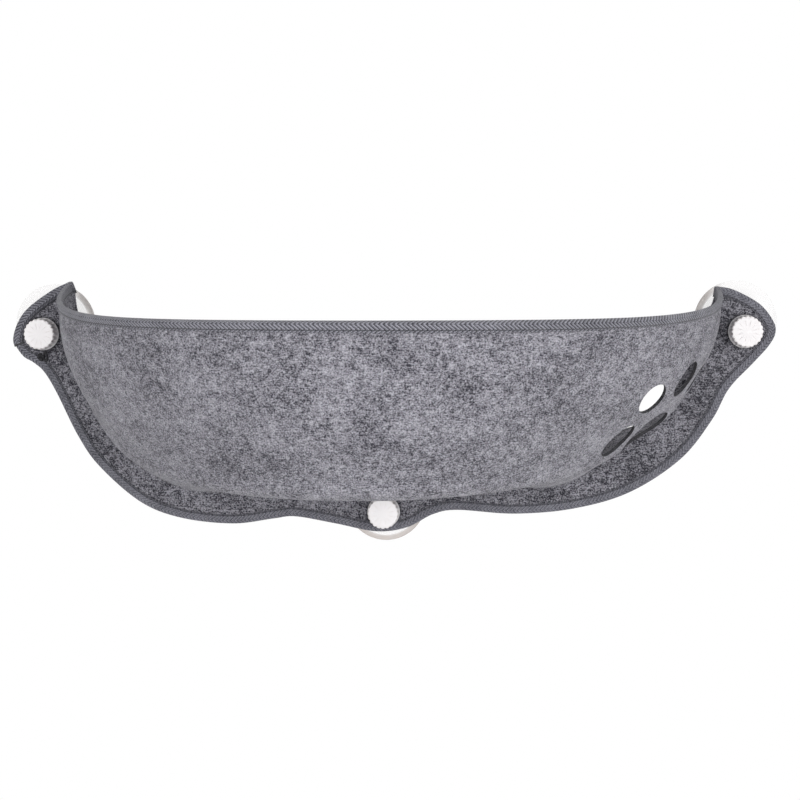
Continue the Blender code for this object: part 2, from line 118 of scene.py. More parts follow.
class Finish:
    """The nodes of one material or of the room's light."""

    def __init__(self, tree):
        self.tree = tree

    def add(self, kind, settings=None, sockets=None, output=0):
        node = self.tree.nodes.new(kind)
        for name, value in (settings or {}).items():
            setattr(node, name, value)
        for name, value in (sockets or {}).items():
            if isinstance(value, Level):
                self.tree.links.new(value.socket, node.inputs[name])
            else:
                node.inputs[name].default_value = value
        return Level(self, node.outputs[output])

    def blend(self, share, first, second):
        """A colour between two colours."""
        return self.add(
            "ShaderNodeMix", {"data_type": "RGBA"},
            {0: share, 6: first, 7: second}, output=2)

    def grain(self, place, scale, detail=3.0, roughness=0.55):
        return self.add(
            "ShaderNodeTexNoise", {},
            {"Vector": place, "Scale": scale, "Detail": detail, "Roughness": roughness})

    def object_place(self):
        return self.add("ShaderNodeTexCoord", output=3)

    def axis(self, place, number):
        """One coordinate of a place."""
        return self.add("ShaderNodeSeparateXYZ", {}, {"Vector": place}, output=number)

    def relief(self, height, strength, depth):
        """A normal tilted by the slope of a height."""
        return self.add("ShaderNodeBump", {}, {"Strength": strength, "Distance": depth, "Height": height})

    def seen(self):
        """1 for what the camera, a reflection or a clear piece looks at, 0 for light."""
        camera = self.add("ShaderNodeLightPath", output=0)
        node = camera.socket.node
        mirrored = Level(self, node.outputs["Is Glossy Ray"])
        through = Level(self, node.outputs["Is Transmission Ray"])
        return camera.highest(mirrored).highest(through)


def coloured(colour, strength=1.0):
    return tuple(c * strength for c in colour) + (1.0,)


def new_material(name, roughness, **constants):
    """A material with its Principled shader's fixed values, and its finish for the rest."""
    material = bpy.data.materials.new(name)
    material.use_nodes = True
    shader = material.node_tree.nodes["Principled BSDF"]
    shader.inputs["Roughness"].default_value = roughness
    for label, value in constants.items():
        shader.inputs[label.replace("_", " ")].default_value = value
    return material, shader, Finish(material.node_tree)


def feed(shader, label, level):
    shader.id_data.links.new(level.socket, shader.inputs[label])


def add_piece(name, bm, material=None):
    """Turns a bmesh into an object at the origin."""
    mesh = bpy.data.meshes.new(name)
    bm.to_mesh(mesh)
    bm.free()
    piece = bpy.data.objects.new(name, mesh)
    bpy.context.scene.collection.objects.link(piece)
    if material:
        mesh.materials.append(material)
    return piece


camera = bpy.data.objects.new("camera", bpy.data.cameras.new("camera"))
camera.location = CAMERA_PLACE
camera.rotation_euler = [math.radians(turn) for turn in CAMERA_TURN]
camera.data.lens = LENS
camera.data.sensor_width = SENSOR_WIDTH
bpy.context.scene.collection.objects.link(camera)
bpy.context.scene.camera = camera
bpy.context.scene.view_settings.view_transform = "Standard"

for name, place, width, height, watts in LAMPS:
    lamp = bpy.data.objects.new(name, bpy.data.lights.new(name, "AREA"))
    lamp.data.shape = "RECTANGLE"
    lamp.data.size = width
    lamp.data.size_y = height
    lamp.data.energy = watts
    lamp.location = place
    aim = Vector(LAMP_AIM) - Vector(place)
    lamp.rotation_euler = aim.to_track_quat("-Z", "Y").to_euler()
    bpy.context.scene.collection.objects.link(lamp)

world = bpy.data.worlds.new("white_room")
bpy.context.scene.world = world
world.use_nodes = True
room = Finish(world.node_tree)
room_light = world.node_tree.nodes["Background"]
room_light.inputs["Color"].default_value = coloured(WHITE)
seen = room.seen()
room_strength = seen + (1 - seen) * ROOM_LEVEL
world.node_tree.links.new(room_strength.socket, room_light.inputs["Strength"])

floor_material, floor_shader, floor_finish = new_material("pale_floor", 0.9)
floor_place = floor_finish.object_place()
flat_place = floor_finish.add(
    "ShaderNodeVectorMath", {"operation": "MULTIPLY"}, {0: floor_place, 1: (1.0, 1.0, 0.0)})
away = floor_finish.add("ShaderNodeVectorMath", {"operation": "LENGTH"}, {0: flat_place}, output=1)
fade = away.between(*FLOOR_FADE)
feed(floor_shader, "Base Color", floor_finish.blend(fade, coloured(FLOOR_COLOUR), coloured(BLACK)))
lift = floor_finish.seen() * (fade * (1 - FLOOR_LIFT) + FLOOR_LIFT)
feed(floor_shader, "Emission Color", floor_finish.blend(lift, coloured(BLACK), coloured(WHITE)))
floor_shader.inputs["Emission Strength"].default_value = 1.0
floor_shader.inputs["Specular IOR Level"].default_value = 0.0
bm = bmesh.new()
bmesh.ops.create_grid(bm, x_segments=1, y_segments=1, size=FLOOR_SIZE / 2)
bmesh.ops.translate(bm, verts=bm.verts, vec=(0, 0, -FLOOR_DROP))
floor = add_piece("floor", bm, floor_material)


# Felt body
# One sheet of melange grey needled felt, moulded hot into a flat flange with two ears and a lower
# tab, and a boat-shaped pouch. A paw print of five holes is cut through the right half.
GAP = 0.0003
FELT = 0.0028
STAND_OFF = 0.029
HALF_WIDTH = 0.340
EDGE_DROP = 0.179
RIM_DEPTH = 0.250
RIM_HEIGHT = 0.0125
CREASE_DEPTH = 0.190
CREASE_DROP = 0.1255
CREASE_LEAN = 0.023
WALL_BULGE = 0.009
FLOOR_SAG = 0.002
FOLD_RADIUS = 0.007
CREASE_RADIUS = 0.014
RIM_ROUNDNESS = 2.04
RIM_TIP_RISE = 2.2
CREASE_TIP_RISE = 3.0
CREASE_FULLNESS = 2.8
TIP_DENSITY = 0.35
SPLINE_STEPS = 12
RIM_STEPS = 768
BEND_LIMIT_SHARE = 0.4
TAPE = 0.0008
BINDING_WIDTH = 0.0082
SHEET_COLUMNS = 288
FLANGE_ROWS = 6
FOLD_STEPS = 6
FLOOR_ROWS = 16
CREASE_STEPS = 8
WALL_ROWS = 18
UNEVENNESS = 0.0003
# scale and share of each size of unevenness
UNEVEN_WAVES = [(22, 1.0), (90, 0.4)]
FELT_STRETCH = 1.12
EDGE_SHARES = [
    (-0.850, 0.251), (-0.900, 0.201), (-0.971, 0.095), (-1.000, -0.034), (-0.979, -0.117),
    (-0.950, -0.152), (-0.921, -0.201), (-0.888, -0.307), (-0.832, -0.525), (-0.774, -0.682),
    (-0.665, -0.860), (-0.556, -0.939), (-0.418, -0.966), (-0.309, -0.939), (-0.250, -0.927),
    (-0.144, -0.961), (-0.035, -1.000), (0.047, -0.978), (0.115, -0.911), (0.180, -0.888),
    (0.330, -0.905), (0.485, -0.877), (0.631, -0.793), (0.762, -0.626), (0.842, -0.430),
    (0.885, -0.274), (0.947, -0.145), (0.986, -0.060), (1.002, 0.005), (0.994, 0.065),
    (0.959, 0.145), (0.894, 0.212), (0.850, 0.229),
]
FOLD_SHARES = [
    (-0.840, 0.198), (-0.829, 0.098), (-0.770, -0.239), (-0.701, -0.538), (-0.644, -0.682),
    (-0.593, -0.749), (-0.528, -0.788), (-0.455, -0.799), (-0.386, -0.783), (-0.148, -0.731),
    (0.088, -0.722), (0.253, -0.738), (0.379, -0.764), (0.448, -0.752), (0.510, -0.690),
    (0.552, -0.560), (0.602, -0.490), (0.660, -0.450), (0.712, -0.385), (0.743, -0.270),
    (0.770, -0.140), (0.803, 0.010), (0.847, 0.178),
]
TOE_SIZE = (0.029, 0.037)
PAD_SIZE = (0.056, 0.042)
PAD_LOBE_SHARE = 0.10
HOLE_POINTS = 64
CUT_REACH = 0.012
OUTER_TOE_REACH = 0.004
# share of the way along the sheet, share of the wall's height, turn in degrees and the cut's reach
TOES = [
    (0.757, 0.085, -35.0, CUT_REACH), (0.785, 0.421, 26.0, CUT_REACH),
    (0.837, 0.443, -10.0, CUT_REACH), (0.880, 0.170, 10.0, OUTER_TOE_REACH),
]
PAD_PLACE = (0.803, -0.020, 3.0)
PLACE_ROWS = 5
TANGENT_STEP = 1 / 64
EAR_MARGIN = 0.0263
TAB_MARGIN = 0.0182
TAB_SHIFT = 0.005
UPPER_TILT = 0.0014
STUD_RADIUS = 0.004
FELT_DARK = (0.045, 0.044, 0.056)
FELT_LIGHT = (0.545, 0.535, 0.595)
# Painted shade on the flange: where it lies, how dark it is made, and how much its grain's contrast is
# raised
SHADED_FLANGE_PLACE = (-0.040, -0.0325)
FLANGE_PAINTED_SHADE = 0.70
SHADED_FLANGE_CONTRAST = 0.45
FELT_MIDDLE = 0.42
FELT_COMBING = 0.4
# Near-black colours of the holes' walls: painted shade
CUT_DARK = (0.012, 0.012, 0.015)
CUT_LIGHT = (0.060, 0.058, 0.064)
CUT_GRAIN = 640.0
CUT_RANGE = (0.35, 0.75)
# Painted contact shadow round each washer: its inner and outer radius, and how dark it is
WASHER_SHADOW_RANGE = (0.0140, 0.0180)
WASHER_PAINTED_SHADOW = 0.35
SPECK_GRAIN = 760.0
SPECK_SHARE = 2.4
CLUMP_GRAIN = 170.0
CLUMP_SHARE = 0.9
CLOUD_GRAIN = 26.0
CLOUD_SHARE = 0.5
FIBRE_GRAIN = (170.0, 1150.0, 1150.0)
FIBRE_TURNS = [(0.3, 0.2, 0.5), (1.2, 0.4, 2.3), (0.6, 1.4, 1.2), (2.2, 0.9, 0.1)]
FIBRE_LEVEL = 0.60
FIBRE_SHARE = 1.8
FELT_RELIEF = 0.0018


def through(points):
    """A smooth curve through the points, as a close row of samples."""
    row = [points[0] * 2 - points[1], *points, points[-1] * 2 - points[-2]]
    samples = []
    for before, start, end, after in zip(row, row[1:], row[2:], row[3:]):
        for step in range(SPLINE_STEPS):
            s = step / SPLINE_STEPS
            samples.append(
                0.5 * (2 * start + (end - before) * s
                       + (2 * before - 5 * start + 4 * end - after) * s ** 2
                       + (3 * start - before - 3 * end + after) * s ** 3))
    samples.append(points[-1])
    return samples


def paced(samples):
    """A function that gives the point at a share of the samples' length."""
    reach = [0.0]
    for start, end in zip(samples, samples[1:]):
        reach.append(reach[-1] + (end - start).length)

    def at(share):
        goal = share * reach[-1]
        index = min(max(bisect.bisect_left(reach, goal), 1), len(samples) - 1)
        run = reach[index] - reach[index - 1]
        return samples[index - 1].lerp(samples[index], (goal - reach[index - 1]) / run)

    return at


def on_flange(x_share, z_share):
    return Vector((x_share * HALF_WIDTH, -STAND_OFF, z_share * EDGE_DROP))


def rim_samples(left_tip, right_tip):
    samples = []
    for step in range(RIM_STEPS + 1):
        turn = math.pi * step / RIM_STEPS
        out = math.sin(turn) ** (2 / RIM_ROUNDNESS)
        along = 0.5 - 0.5 * math.copysign(abs(math.cos(turn)) ** (2 / RIM_ROUNDNESS), math.cos(turn))
        tip = left_tip.lerp(right_tip, along)
        climb = (1 - out) ** RIM_TIP_RISE
        height = RIM_HEIGHT + (tip.z - RIM_HEIGHT) * climb
        samples.append(Vector((tip.x, -STAND_OFF - RIM_DEPTH * out, height)))
    return samples


edge_at = paced(through([on_flange(x, z) for x, z in EDGE_SHARES]))
fold_at = paced(through([on_flange(x, z) for x, z in FOLD_SHARES]))
rim_at = paced(rim_samples(edge_at(0.0), edge_at(1.0)))


def crease_at(share):
    """The line where the pouch's floor turns up into its wall."""
    along = 0.5 - 0.5 * math.cos(math.pi * share)
    end = fold_at(0.0).lerp(fold_at(1.0), along)
    out = math.sin(math.pi * share) ** CREASE_FULLNESS
    drop = 1 - abs(1 - 2 * share) ** CREASE_TIP_RISE
    return Vector((
        end.x - CREASE_LEAN * drop ** 2,
        -STAND_OFF - CREASE_DEPTH * out,
        end.z - (end.z + CREASE_DROP) * drop))


def edge_inset(share, inset):
    step = 1 / RIM_STEPS
    run = edge_at(min(share + step, 1.0)) - edge_at(max(share - step, 0.0))
    return edge_at(share) + Vector((-run.z, 0, run.x)).normalized() * inset


def rim_inset(share, inset):
    rim = rim_at(share)
    return rim + (crease_at(share) - rim).normalized() * inset


def bend(corner, toward_start, toward_end, radius, steps):
    """Points of a rounded corner between two straight runs."""
    lead = min(radius, BEND_LIMIT_SHARE * (toward_start - corner).length)
    trail = min(radius, BEND_LIMIT_SHARE * (toward_end - corner).length)
    start = corner + (toward_start - corner).normalized() * lead
    end = corner + (toward_end - corner).normalized() * trail
    points = []
    for step in range(steps + 1):
        s = step / steps
        points.append(start.lerp(corner, s).lerp(corner.lerp(end, s), s))
    return points


def out_of_wall(share, up_wall):
    along = rim_at(min(share + TANGENT_STEP, 1.0)) - rim_at(max(share - TANGENT_STEP, 0.0))
    return along.cross(up_wall).normalized()


def wall_points(share, start, rows):
    """The bellied wall from the end of the crease's bend up to the tape's inner edge."""
    end = rim_inset(share, BINDING_WIDTH)
    run = end - start
    belly = out_of_wall(share, run) * WALL_BULGE * min(1.0, run.length / CREASE_DROP)
    return [start + run * s / rows + belly * math.sin(math.pi * s / rows) for s in range(1, rows + 1)]


def section(share):
    """Points across the sheet, from the flange's bound edge to the rim's."""
    start = edge_inset(share, BINDING_WIDTH)
    end = rim_inset(share, BINDING_WIDTH)
    crease = crease_at(share)
    fold_bend = bend(fold_at(share), start, crease, FOLD_RADIUS, FOLD_STEPS)
    crease_bend = bend(crease, fold_at(share), end, CREASE_RADIUS, CREASE_STEPS)
    points = [edge_inset(share, TAPE + GAP)]
    points += [start.lerp(fold_bend[0], s / FLANGE_ROWS) for s in range(FLANGE_ROWS)]
    points += fold_bend
    run = crease_bend[0] - fold_bend[-1]
    limit = min(1.0, run.length / CREASE_DEPTH)
    for row in range(1, FLOOR_ROWS):
        s = row / FLOOR_ROWS
        sag = Vector((0, 0, -FLOOR_SAG * limit * math.sin(math.pi * s)))
        points.append(fold_bend[-1] + run * s + sag)
    points += crease_bend
    points += wall_points(share, crease_bend[-1], WALL_ROWS)
    points.append(rim_inset(share, TAPE + GAP))
    return points


def column_share(column):
    even = column / SHEET_COLUMNS
    return even - TIP_DENSITY * math.sin(2 * math.pi * even) / (2 * math.pi)


def tip_section(rows, end, share):
    """At a tip the whole sheet ends in the fold's end, and its two bound edges meet."""
    tip = edge_at(share)
    tip += (end - tip).normalized() * (TAPE + GAP)
    return [tip] + [end] * (rows - 2) + [tip]


sections = [section(column_share(c)) for c in range(1, SHEET_COLUMNS)]
row_count = len(sections[0])
sections.insert(0, tip_section(row_count, fold_at(0.0), 0.0))
sections.append(tip_section(row_count, fold_at(1.0), 1.0))


def grid_place(vertex, columns, rows):
    """The column and row of a vertex of a fresh grid of size 1."""
    return round((vertex.co.x + 1) / 2 * columns), round((vertex.co.y + 1) / 2 * rows)


def sheet_grid():
    """The felt's middle surface, and a table of its vertices by column and row."""
    bm = bmesh.new()
    bmesh.ops.create_grid(bm, x_segments=SHEET_COLUMNS, y_segments=row_count - 1, size=1.0)
    table = {}
    for vertex in bm.verts:
        column, row = grid_place(vertex, SHEET_COLUMNS, row_count - 1)
        vertex.co = sections[column][row]
        table[column, row] = tuple(vertex.co)
    bmesh.ops.remove_doubles(bm, verts=bm.verts, dist=GAP / 10)
    bmesh.ops.recalc_face_normals(bm, faces=bm.faces)
    bm.normal_update()
    return bm, table


def cutter(name, size, place, lobe_share=0.0, reach=CUT_REACH):
    """An oval, or with a lobe share a three-lobed pad, drawn out along its Z to both sides."""
    bm = bmesh.new()
    bmesh.ops.create_circle(bm, cap_ends=True, segments=HOLE_POINTS, radius=0.5)
    for vertex in bm.verts:
        turn = math.atan2(vertex.co.y, vertex.co.x)
        swell = 1 - lobe_share * math.sin(3 * turn)
        vertex.co = Vector((vertex.co.x * size[0] * swell, vertex.co.y * size[1] * swell, -reach))
    drawn = bmesh.ops.extrude_face_region(bm, geom=bm.faces[:])
    raised = [item for item in drawn["geom"] if isinstance(item, bmesh.types.BMVert)]
    bmesh.ops.translate(bm, verts=raised, vec=(0, 0, 2 * reach))
    bmesh.ops.recalc_face_normals(bm, faces=bm.faces)
    bmesh.ops.transform(bm, matrix=place, verts=bm.verts)
    for face in bm.faces:
        face.material_index = 1
    piece = add_piece(name, bm, felt_material)
    piece.data.materials.append(cut_material)
    return piece


def on_wall(share, height_share):
    """A place on the wall with the directions across it, up it and out of it."""
    crease = bend(crease_at(share), fold_at(share), rim_inset(share, BINDING_WIDTH),
                  CREASE_RADIUS, CREASE_STEPS)[-1]
    wall = [crease] + wall_points(share, crease, PLACE_ROWS)
    at = height_share * PLACE_ROWS
    index = min(int(at), PLACE_ROWS - 1)
    up_wall = (wall[index + 1] - wall[index]).normalized()
    out = out_of_wall(share, up_wall)
    turn = Matrix((up_wall.cross(out), up_wall, out)).transposed().to_4x4()
    return Matrix.Translation(wall[index].lerp(wall[index + 1], at - index)) @ turn


def paw_place(share, height_share, turn):
    return on_wall(share, height_share) @ Matrix.Rotation(math.radians(turn), 4, "Z")


FORWARD = Matrix.Rotation(math.radians(90), 4, "X")
STUD_PLACES = {
    "left": (-(HALF_WIDTH - EAR_MARGIN), -UPPER_TILT),
    "right": (HALF_WIDTH - EAR_MARGIN, UPPER_TILT),
    "lower": (-TAB_SHIFT, TAB_MARGIN - EDGE_DROP),
}


def baked(piece):
    """Applies the piece's modifiers."""
    settled = bpy.data.meshes.new_from_object(piece.evaluated_get(bpy.context.evaluated_depsgraph_get()))
    piece.modifiers.clear()
    piece.data = settled


def thicken(piece, thickness):
    wall = piece.modifiers.new("thickness", "SOLIDIFY")
    wall.thickness = thickness
    wall.offset = 0.0


def soft_shade(piece, angle=50.0):
    piece.data.shade_smooth()
    piece.data.set_sharp_from_angle(angle=math.radians(angle))


felt_material, felt_shader, felt = new_material(
    "grey_needled_felt", 0.95, Sheen_Weight=0.45, Sheen_Roughness=0.28, Specular_IOR_Level=0.2)
felt_shader.inputs["Sheen Tint"].default_value = (0.80, 0.79, 0.83, 1.0)
place = felt.object_place()
combed = felt.add("ShaderNodeMapping", {}, {"Vector": place, "Scale": (1.0, FELT_COMBING, 1.0)})
specks = felt.grain(combed, SPECK_GRAIN, 3.0, 0.6)
clumps = felt.grain(combed, CLUMP_GRAIN, 2.0, 0.5)
clouds = felt.grain(place, CLOUD_GRAIN, 1.0, 0.5)
fibres = None
for turn in FIBRE_TURNS:
    drawn_out = felt.add(
        "ShaderNodeMapping", {}, {"Vector": combed, "Rotation": turn, "Scale": FIBRE_GRAIN})
    strand = felt.grain(drawn_out, 1.0, 2.0, 0.6)
    fibres = strand if fibres is None else fibres.highest(strand)
# The flange is painted darker than the pouch: painted shade.
shaded_flange = felt.axis(place, 1).between(*SHADED_FLANGE_PLACE)
# Painted contact shadow: the felt is darker in a ring round each washer.
washer_shadow = None
for x, z in STUD_PLACES.values():
    flat = felt.add(
        "ShaderNodeVectorMath", {"operation": "MULTIPLY_ADD"},
        {0: place, 1: (1.0, 0.0, 1.0), 2: (-x, 0.0, -z)})
    out = felt.add("ShaderNodeVectorMath", {"operation": "LENGTH"}, {0: flat}, output=1).between(*WASHER_SHADOW_RANGE)
    washer_shadow = out if washer_shadow is None else washer_shadow.lowest(out)
mix = (specks - GRAIN_MIDDLE) * SPECK_SHARE + (clumps - GRAIN_MIDDLE) * CLUMP_SHARE
mix = mix + (fibres - FIBRE_LEVEL) * FIBRE_SHARE + (clouds - GRAIN_MIDDLE) * CLOUD_SHARE
mix = mix * (shaded_flange * SHADED_FLANGE_CONTRAST + 1) + FELT_MIDDLE
felt_colour = felt.blend(mix.highest(0.0).lowest(1.0), coloured(FELT_DARK), coloured(FELT_LIGHT))
# Painted shade on the flange, times a painted contact shadow round each washer.
shade = (1 - shaded_flange * (1 - FLANGE_PAINTED_SHADE)) * (washer_shadow * (1 - WASHER_PAINTED_SHADOW) + WASHER_PAINTED_SHADOW)
feed(felt_shader, "Base Color", felt.blend(shade, coloured(BLACK), felt_colour))
feed(felt_shader, "Normal", felt.relief(specks * 0.6 + fibres * 0.8 + clumps * 0.7, 1.0, FELT_RELIEF))

# The walls of the holes are coloured near black: painted shade in the holes.
cut_material, cut_shader, cut_felt = new_material("cut_felt_edge_painted_shade", 0.9)
cut_grain = cut_felt.grain(cut_felt.object_place(), CUT_GRAIN, 3.0, 0.6).between(*CUT_RANGE)
feed(cut_shader, "Base Color", cut_felt.blend(cut_grain, coloured(CUT_DARK), coloured(CUT_LIGHT)))

bm, sheet_table = sheet_grid()
sheet_area = sum(face.calc_area() for face in bm.faces)
for vertex in bm.verts:
    rough = sum(share * noise.noise(vertex.co * scale) for scale, share in UNEVEN_WAVES)
    vertex.co += vertex.normal * UNEVENNESS * rough
felt_body = add_piece("moulded_felt", bm, felt_material)
felt_body.data.materials.append(cut_material)
thicken(felt_body, FELT)
cutters = [
    cutter(f"cut_toe_{n + 1}", TOE_SIZE, paw_place(*toe), reach=reach)
    for n, (*toe, reach) in enumerate(TOES)
]
cutters.append(cutter("cut_pad", PAD_SIZE, paw_place(*PAD_PLACE), PAD_LOBE_SHARE))
hole = 2 * (STUD_RADIUS + GAP)
for side, (x, z) in STUD_PLACES.items():
    middle = Matrix.Translation((x, -STAND_OFF, z)) @ FORWARD
    cutters.append(cutter("cut_stud_" + side, (hole, hole), middle))
for piece in cutters:
    cut = felt_body.modifiers.new(piece.name, "BOOLEAN")
    cut.operation = "DIFFERENCE"
    cut.solver = "MANIFOLD"
    cut.object = piece
baked(felt_body)
for piece in cutters:
    bpy.data.objects.remove(piece)
soft_shade(felt_body)
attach(felt_body, "bed")
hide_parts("felt_body")
sheet_area / FELT_STRETCH


# Edge binding
# One woven herringbone tape, folded over the sheet's whole edge from front to back and sewn through.
# It starts and ends on the left ear, where its last stretch laps over its first and is cut off hot.
WRAP_SHARE = 0.85
TAPE_DARK = (0.030, 0.030, 0.038)
TAPE_LIGHT = (0.370, 0.368, 0.420)
# Near black of the cut end: singed, and painted shadow
SINGED_AND_SHADOW = (0.010, 0.010, 0.012)
SINGED_SHADOW_GRAIN = 1500.0
WEAR_GRAIN = 1100.0
WEAR_SHARE = 1.5
DRIFT_GRAIN = 60.0
DRIFT_SHARE = 0.5
RIB_PITCH = 0.0034
RIB_BAND = 0.0042
RIB_SLANT = 1.2
RIB_WANDER = 0.0012
YARN_SLANT = 0.9
# strength of the ribs and of the finer ribs where the weave shows, and where it is plain
RIB_SHARES = (0.36, 0.20)
FINE_RIB_SHARES = (0.10, 0.24)
YARN_SHARE = 0.08
WEAVE_LEVEL = 0.46
SPINE_WIDTH = 0.0006
SPINE_SHADE = 0.65
PLAIN_START = (0.100, 0.115)
FLANGE_PLACE = (-0.060, -0.036)
# How dark the tape is painted along the flange: painted shade
TAPE_FLANGE_PAINTED_SHADE = 0.72
# half width of the seam's groove and of its needle holes, and how far in from the tape's inner edge its
# painted shadow reaches
GROOVE = (0.0002, 0.0008)
PIERCED = (0.0003, 0.0009)
EDGE_SHADOW = (0.0007, 0.0001)
NEEDLE_RANGE = (0.55, 0.95)
# How dark the painted shade is in the seam's groove, and in the needle holes and along the tape's inner edge
SEAM_GROOVE_PAINTED_SHADE = 0.25
LINE_PAINTED_SHADE = 0.10
TAPE_RELIEF = 0.0006
SPINE_DROP = 0.0025
RIM_SEAM_SHARE = 0.72
FLANGE_SEAM_SHARE = 0.84
TAPE_TURN = FELT + 2 * GAP
TIP_CHANGE = 0.012
TAPE_FACE_STEPS = 6
TURN_CROWN = 1.25
LAP_START = -0.006
LAP_END = 0.080
LAP_STEP = 0.0012
LAP_LIFT = TAPE + GAP
LAP_CLIMB = 0.0288
LAP_LOW_SHARE = 0.35
FRAY = 0.0016
FRAY_STEP = 0.77
FRAY_PLACE = (3.1, 0.7)
STITCH_PITCH = 0.0050
STITCH_LENGTH = 0.0040
STITCH_WIDTH = 0.0007
STITCH_HEIGHT = 0.0004
STITCH_PHASE = 0.75
TWIST_GRAIN = 2400.0
TWIST_RELIEF = 0.0002
THREAD_COLOUR = (0.085, 0.083, 0.100)
KNOT_THREAD = 0.0006
KNOT_COLOUR = (0.006, 0.006, 0.008)
KNOT_GRAIN = 2600.0
# x and z of the knot and of its loose loop, and their half widths and half heights
KNOT_PLACE = (-0.3157, -0.0224)
KNOT_SIZE = (0.0024, 0.0034)
LOOP_PLACE = (-0.3113, -0.0219)
LOOP_SIZE = (0.0014, 0.0043)
LOOP_ROLL = 6
KNOT_NARROWING = 0.6
# size, roll and tilt in degrees of each turn of the knot, and how the turns pile up in thread widths
KNOT_TURNS = [
    (1.00, 10, 0), (0.85, 50, 16), (0.90, 100, -14), (0.70, 140, 24), (0.75, 20, -22), (0.50, 75, 30)]
KNOT_PILE = (0.4, 0.5)

bm, _ = sheet_grid()
normals = {tuple(round(c, 7) for c in vertex.co): vertex.normal.copy() for vertex in bm.verts}
bm.free()


def ring_point(column, row):
    co = Vector(sheet_table[column, row])
    return co, normals[tuple(round(c, 7) for c in co)]


ring = [(ring_point(c, 0), ring_point(c, 1)) for c in range(SHEET_COLUMNS)]
ring += [(ring_point(c, row_count - 1), ring_point(c, row_count - 2)) for c in range(SHEET_COLUMNS, 0, -1)]
ring_reach = [0.0]
for before, after in zip(ring, ring[1:] + ring[:1]):
    ring_reach.append(ring_reach[-1] + (after[0][0] - before[0][0]).length)
tape_length = ring_reach[-1]
flange_length = ring_reach[SHEET_COLUMNS]


def on_ring(reach):
    """The ring's edge and inside points, with normals, at a length along it."""
    reach %= tape_length
    index = min(max(bisect.bisect_right(ring_reach, reach) - 1, 0), len(ring) - 1)
    share = (reach - ring_reach[index]) / max(ring_reach[index + 1] - ring_reach[index], GAP / 100)
    before, after = ring[index], ring[(index + 1) % len(ring)]
    return [(a[0].lerp(b[0], share), a[1].lerp(b[1], share).normalized()) for a, b in zip(before, after)]


def tape_path(edge, inside, raised=0.0):
    """Points across the tape: over the front face, round the edge and over the back face."""
    (edge_co, edge_normal), (inside_co, inside_normal) = edge, inside
    lift = FELT / 2 + GAP + TAPE / 2 + raised
    turn = GAP + TAPE / 2 + raised
    away = (edge_co - inside_co).normalized()
    corner = edge_normal * lift * WRAP_SHARE
    shares = [s / TAPE_FACE_STEPS for s in range(TAPE_FACE_STEPS + 1)]
    front = [inside_co.lerp(edge_co, s) + inside_normal.lerp(edge_normal, s) * lift for s in shares]
    back = [inside_co.lerp(edge_co, s) - inside_normal.lerp(edge_normal, s) * lift for s in reversed(shares)]
    return front + [edge_co + corner + away * turn, edge_co + away * turn * TURN_CROWN,
                    edge_co - corner + away * turn] + back


def folded_tape(stations, paths, spine_at):
    """A grid folded along the paths, with its weave and fold maps in metres."""
    bm = bmesh.new()
    weave_map = bm.loops.layers.uv.new("weave")
    fold_map = bm.loops.layers.uv.new("fold")
    rows = len(paths[0]) - 1
    bmesh.ops.create_grid(bm, x_segments=len(paths) - 1, y_segments=rows, size=1.0)
    places = {vertex: grid_place(vertex, len(paths) - 1, rows) for vertex in bm.verts}
    middle_path = paths[len(paths) // 5]
    across = [0.0]
    for start, end in zip(middle_path, middle_path[1:]):
        across.append(across[-1] + (end - start).length)
    for face in bm.faces:
        for loop in face.loops:
            column, row = places[loop.vert]
            from_fold = across[-1] / 2 - across[row]
            loop[weave_map].uv = (stations[column], from_fold - spine_at(stations[column]))
            loop[fold_map].uv = (stations[column], from_fold)
    for vertex, (column, row) in places.items():
        vertex.co = paths[column][row]
    return bm, across[-1]


def rim_share(reach):
    """0 along the flange and 1 along the rim, with a short change at each tip."""
    near = min(abs(reach - flange_length), abs(reach), abs(tape_length - reach))
    half = min(near / TIP_CHANGE, 1.0) / 2
    return 0.5 + half if reach > flange_length else 0.5 - half


def ring_spine(reach):
    """The tape is folded off its middle along the rim, and on a spine of its weave along the flange."""
    return SPINE_DROP * rim_share(reach)


